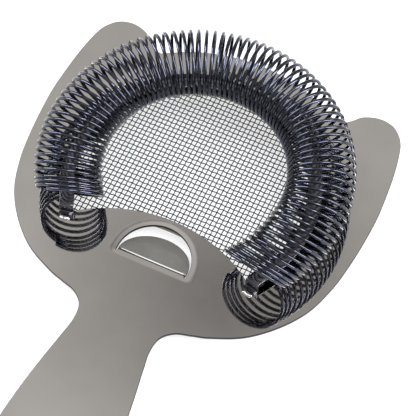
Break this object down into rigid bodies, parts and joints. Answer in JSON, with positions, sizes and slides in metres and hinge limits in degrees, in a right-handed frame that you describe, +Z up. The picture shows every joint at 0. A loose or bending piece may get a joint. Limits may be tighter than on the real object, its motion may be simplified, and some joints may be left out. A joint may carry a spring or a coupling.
{
  "type": "hawthorne strainer",
  "caption": "Bar strainer with a stamped eared plate, lanced finger tab, fine woven mesh window and a C-shaped coil spring threaded on a retainer strip.",
  "frame": {"origin": "centre of the bounding box in X and Y, at its lowest point, which is the free edge of the finger tab", "axes": "+Z up, out of the spring side, with the strainer lying on its back; +Y towards the front between the two ears, the handle points to -Y; X across the head"},
  "size_m": [0.1056, 0.1604, 0.0262],
  "materials": {
    "plate_metal": "polished dark gunmetal plating on stainless steel",
    "frame_metal": "polished dark gunmetal plating on stainless steel",
    "strip_metal": "polished dark gunmetal plating on stainless steel",
    "spring_wire": "glossy blue-black plated spring wire",
    "mesh_wire": "dark woven wire",
    "weld_metal": "bare silvery weld"
  },
  "bodies": {
    "strainer": {"strainer_plate": "plate_metal", "mesh_warp": "mesh_wire", "mesh_weft": "mesh_wire", "mesh_frame": "frame_metal", "spring_retainer": "strip_metal", "weld_left": "weld_metal", "weld_right": "weld_metal"},
    "spring": {"spring_coil": "spring_wire"}
  },
  "joints": [
    {"name": "spring_compress", "type": "slide", "parent": "strainer", "child": "spring", "axis": [0, -1, 0], "range_m": [0, 0.0035], "stiffness_N_per_m": 500, "deforming": ["spring_coil"]}
  ]
}
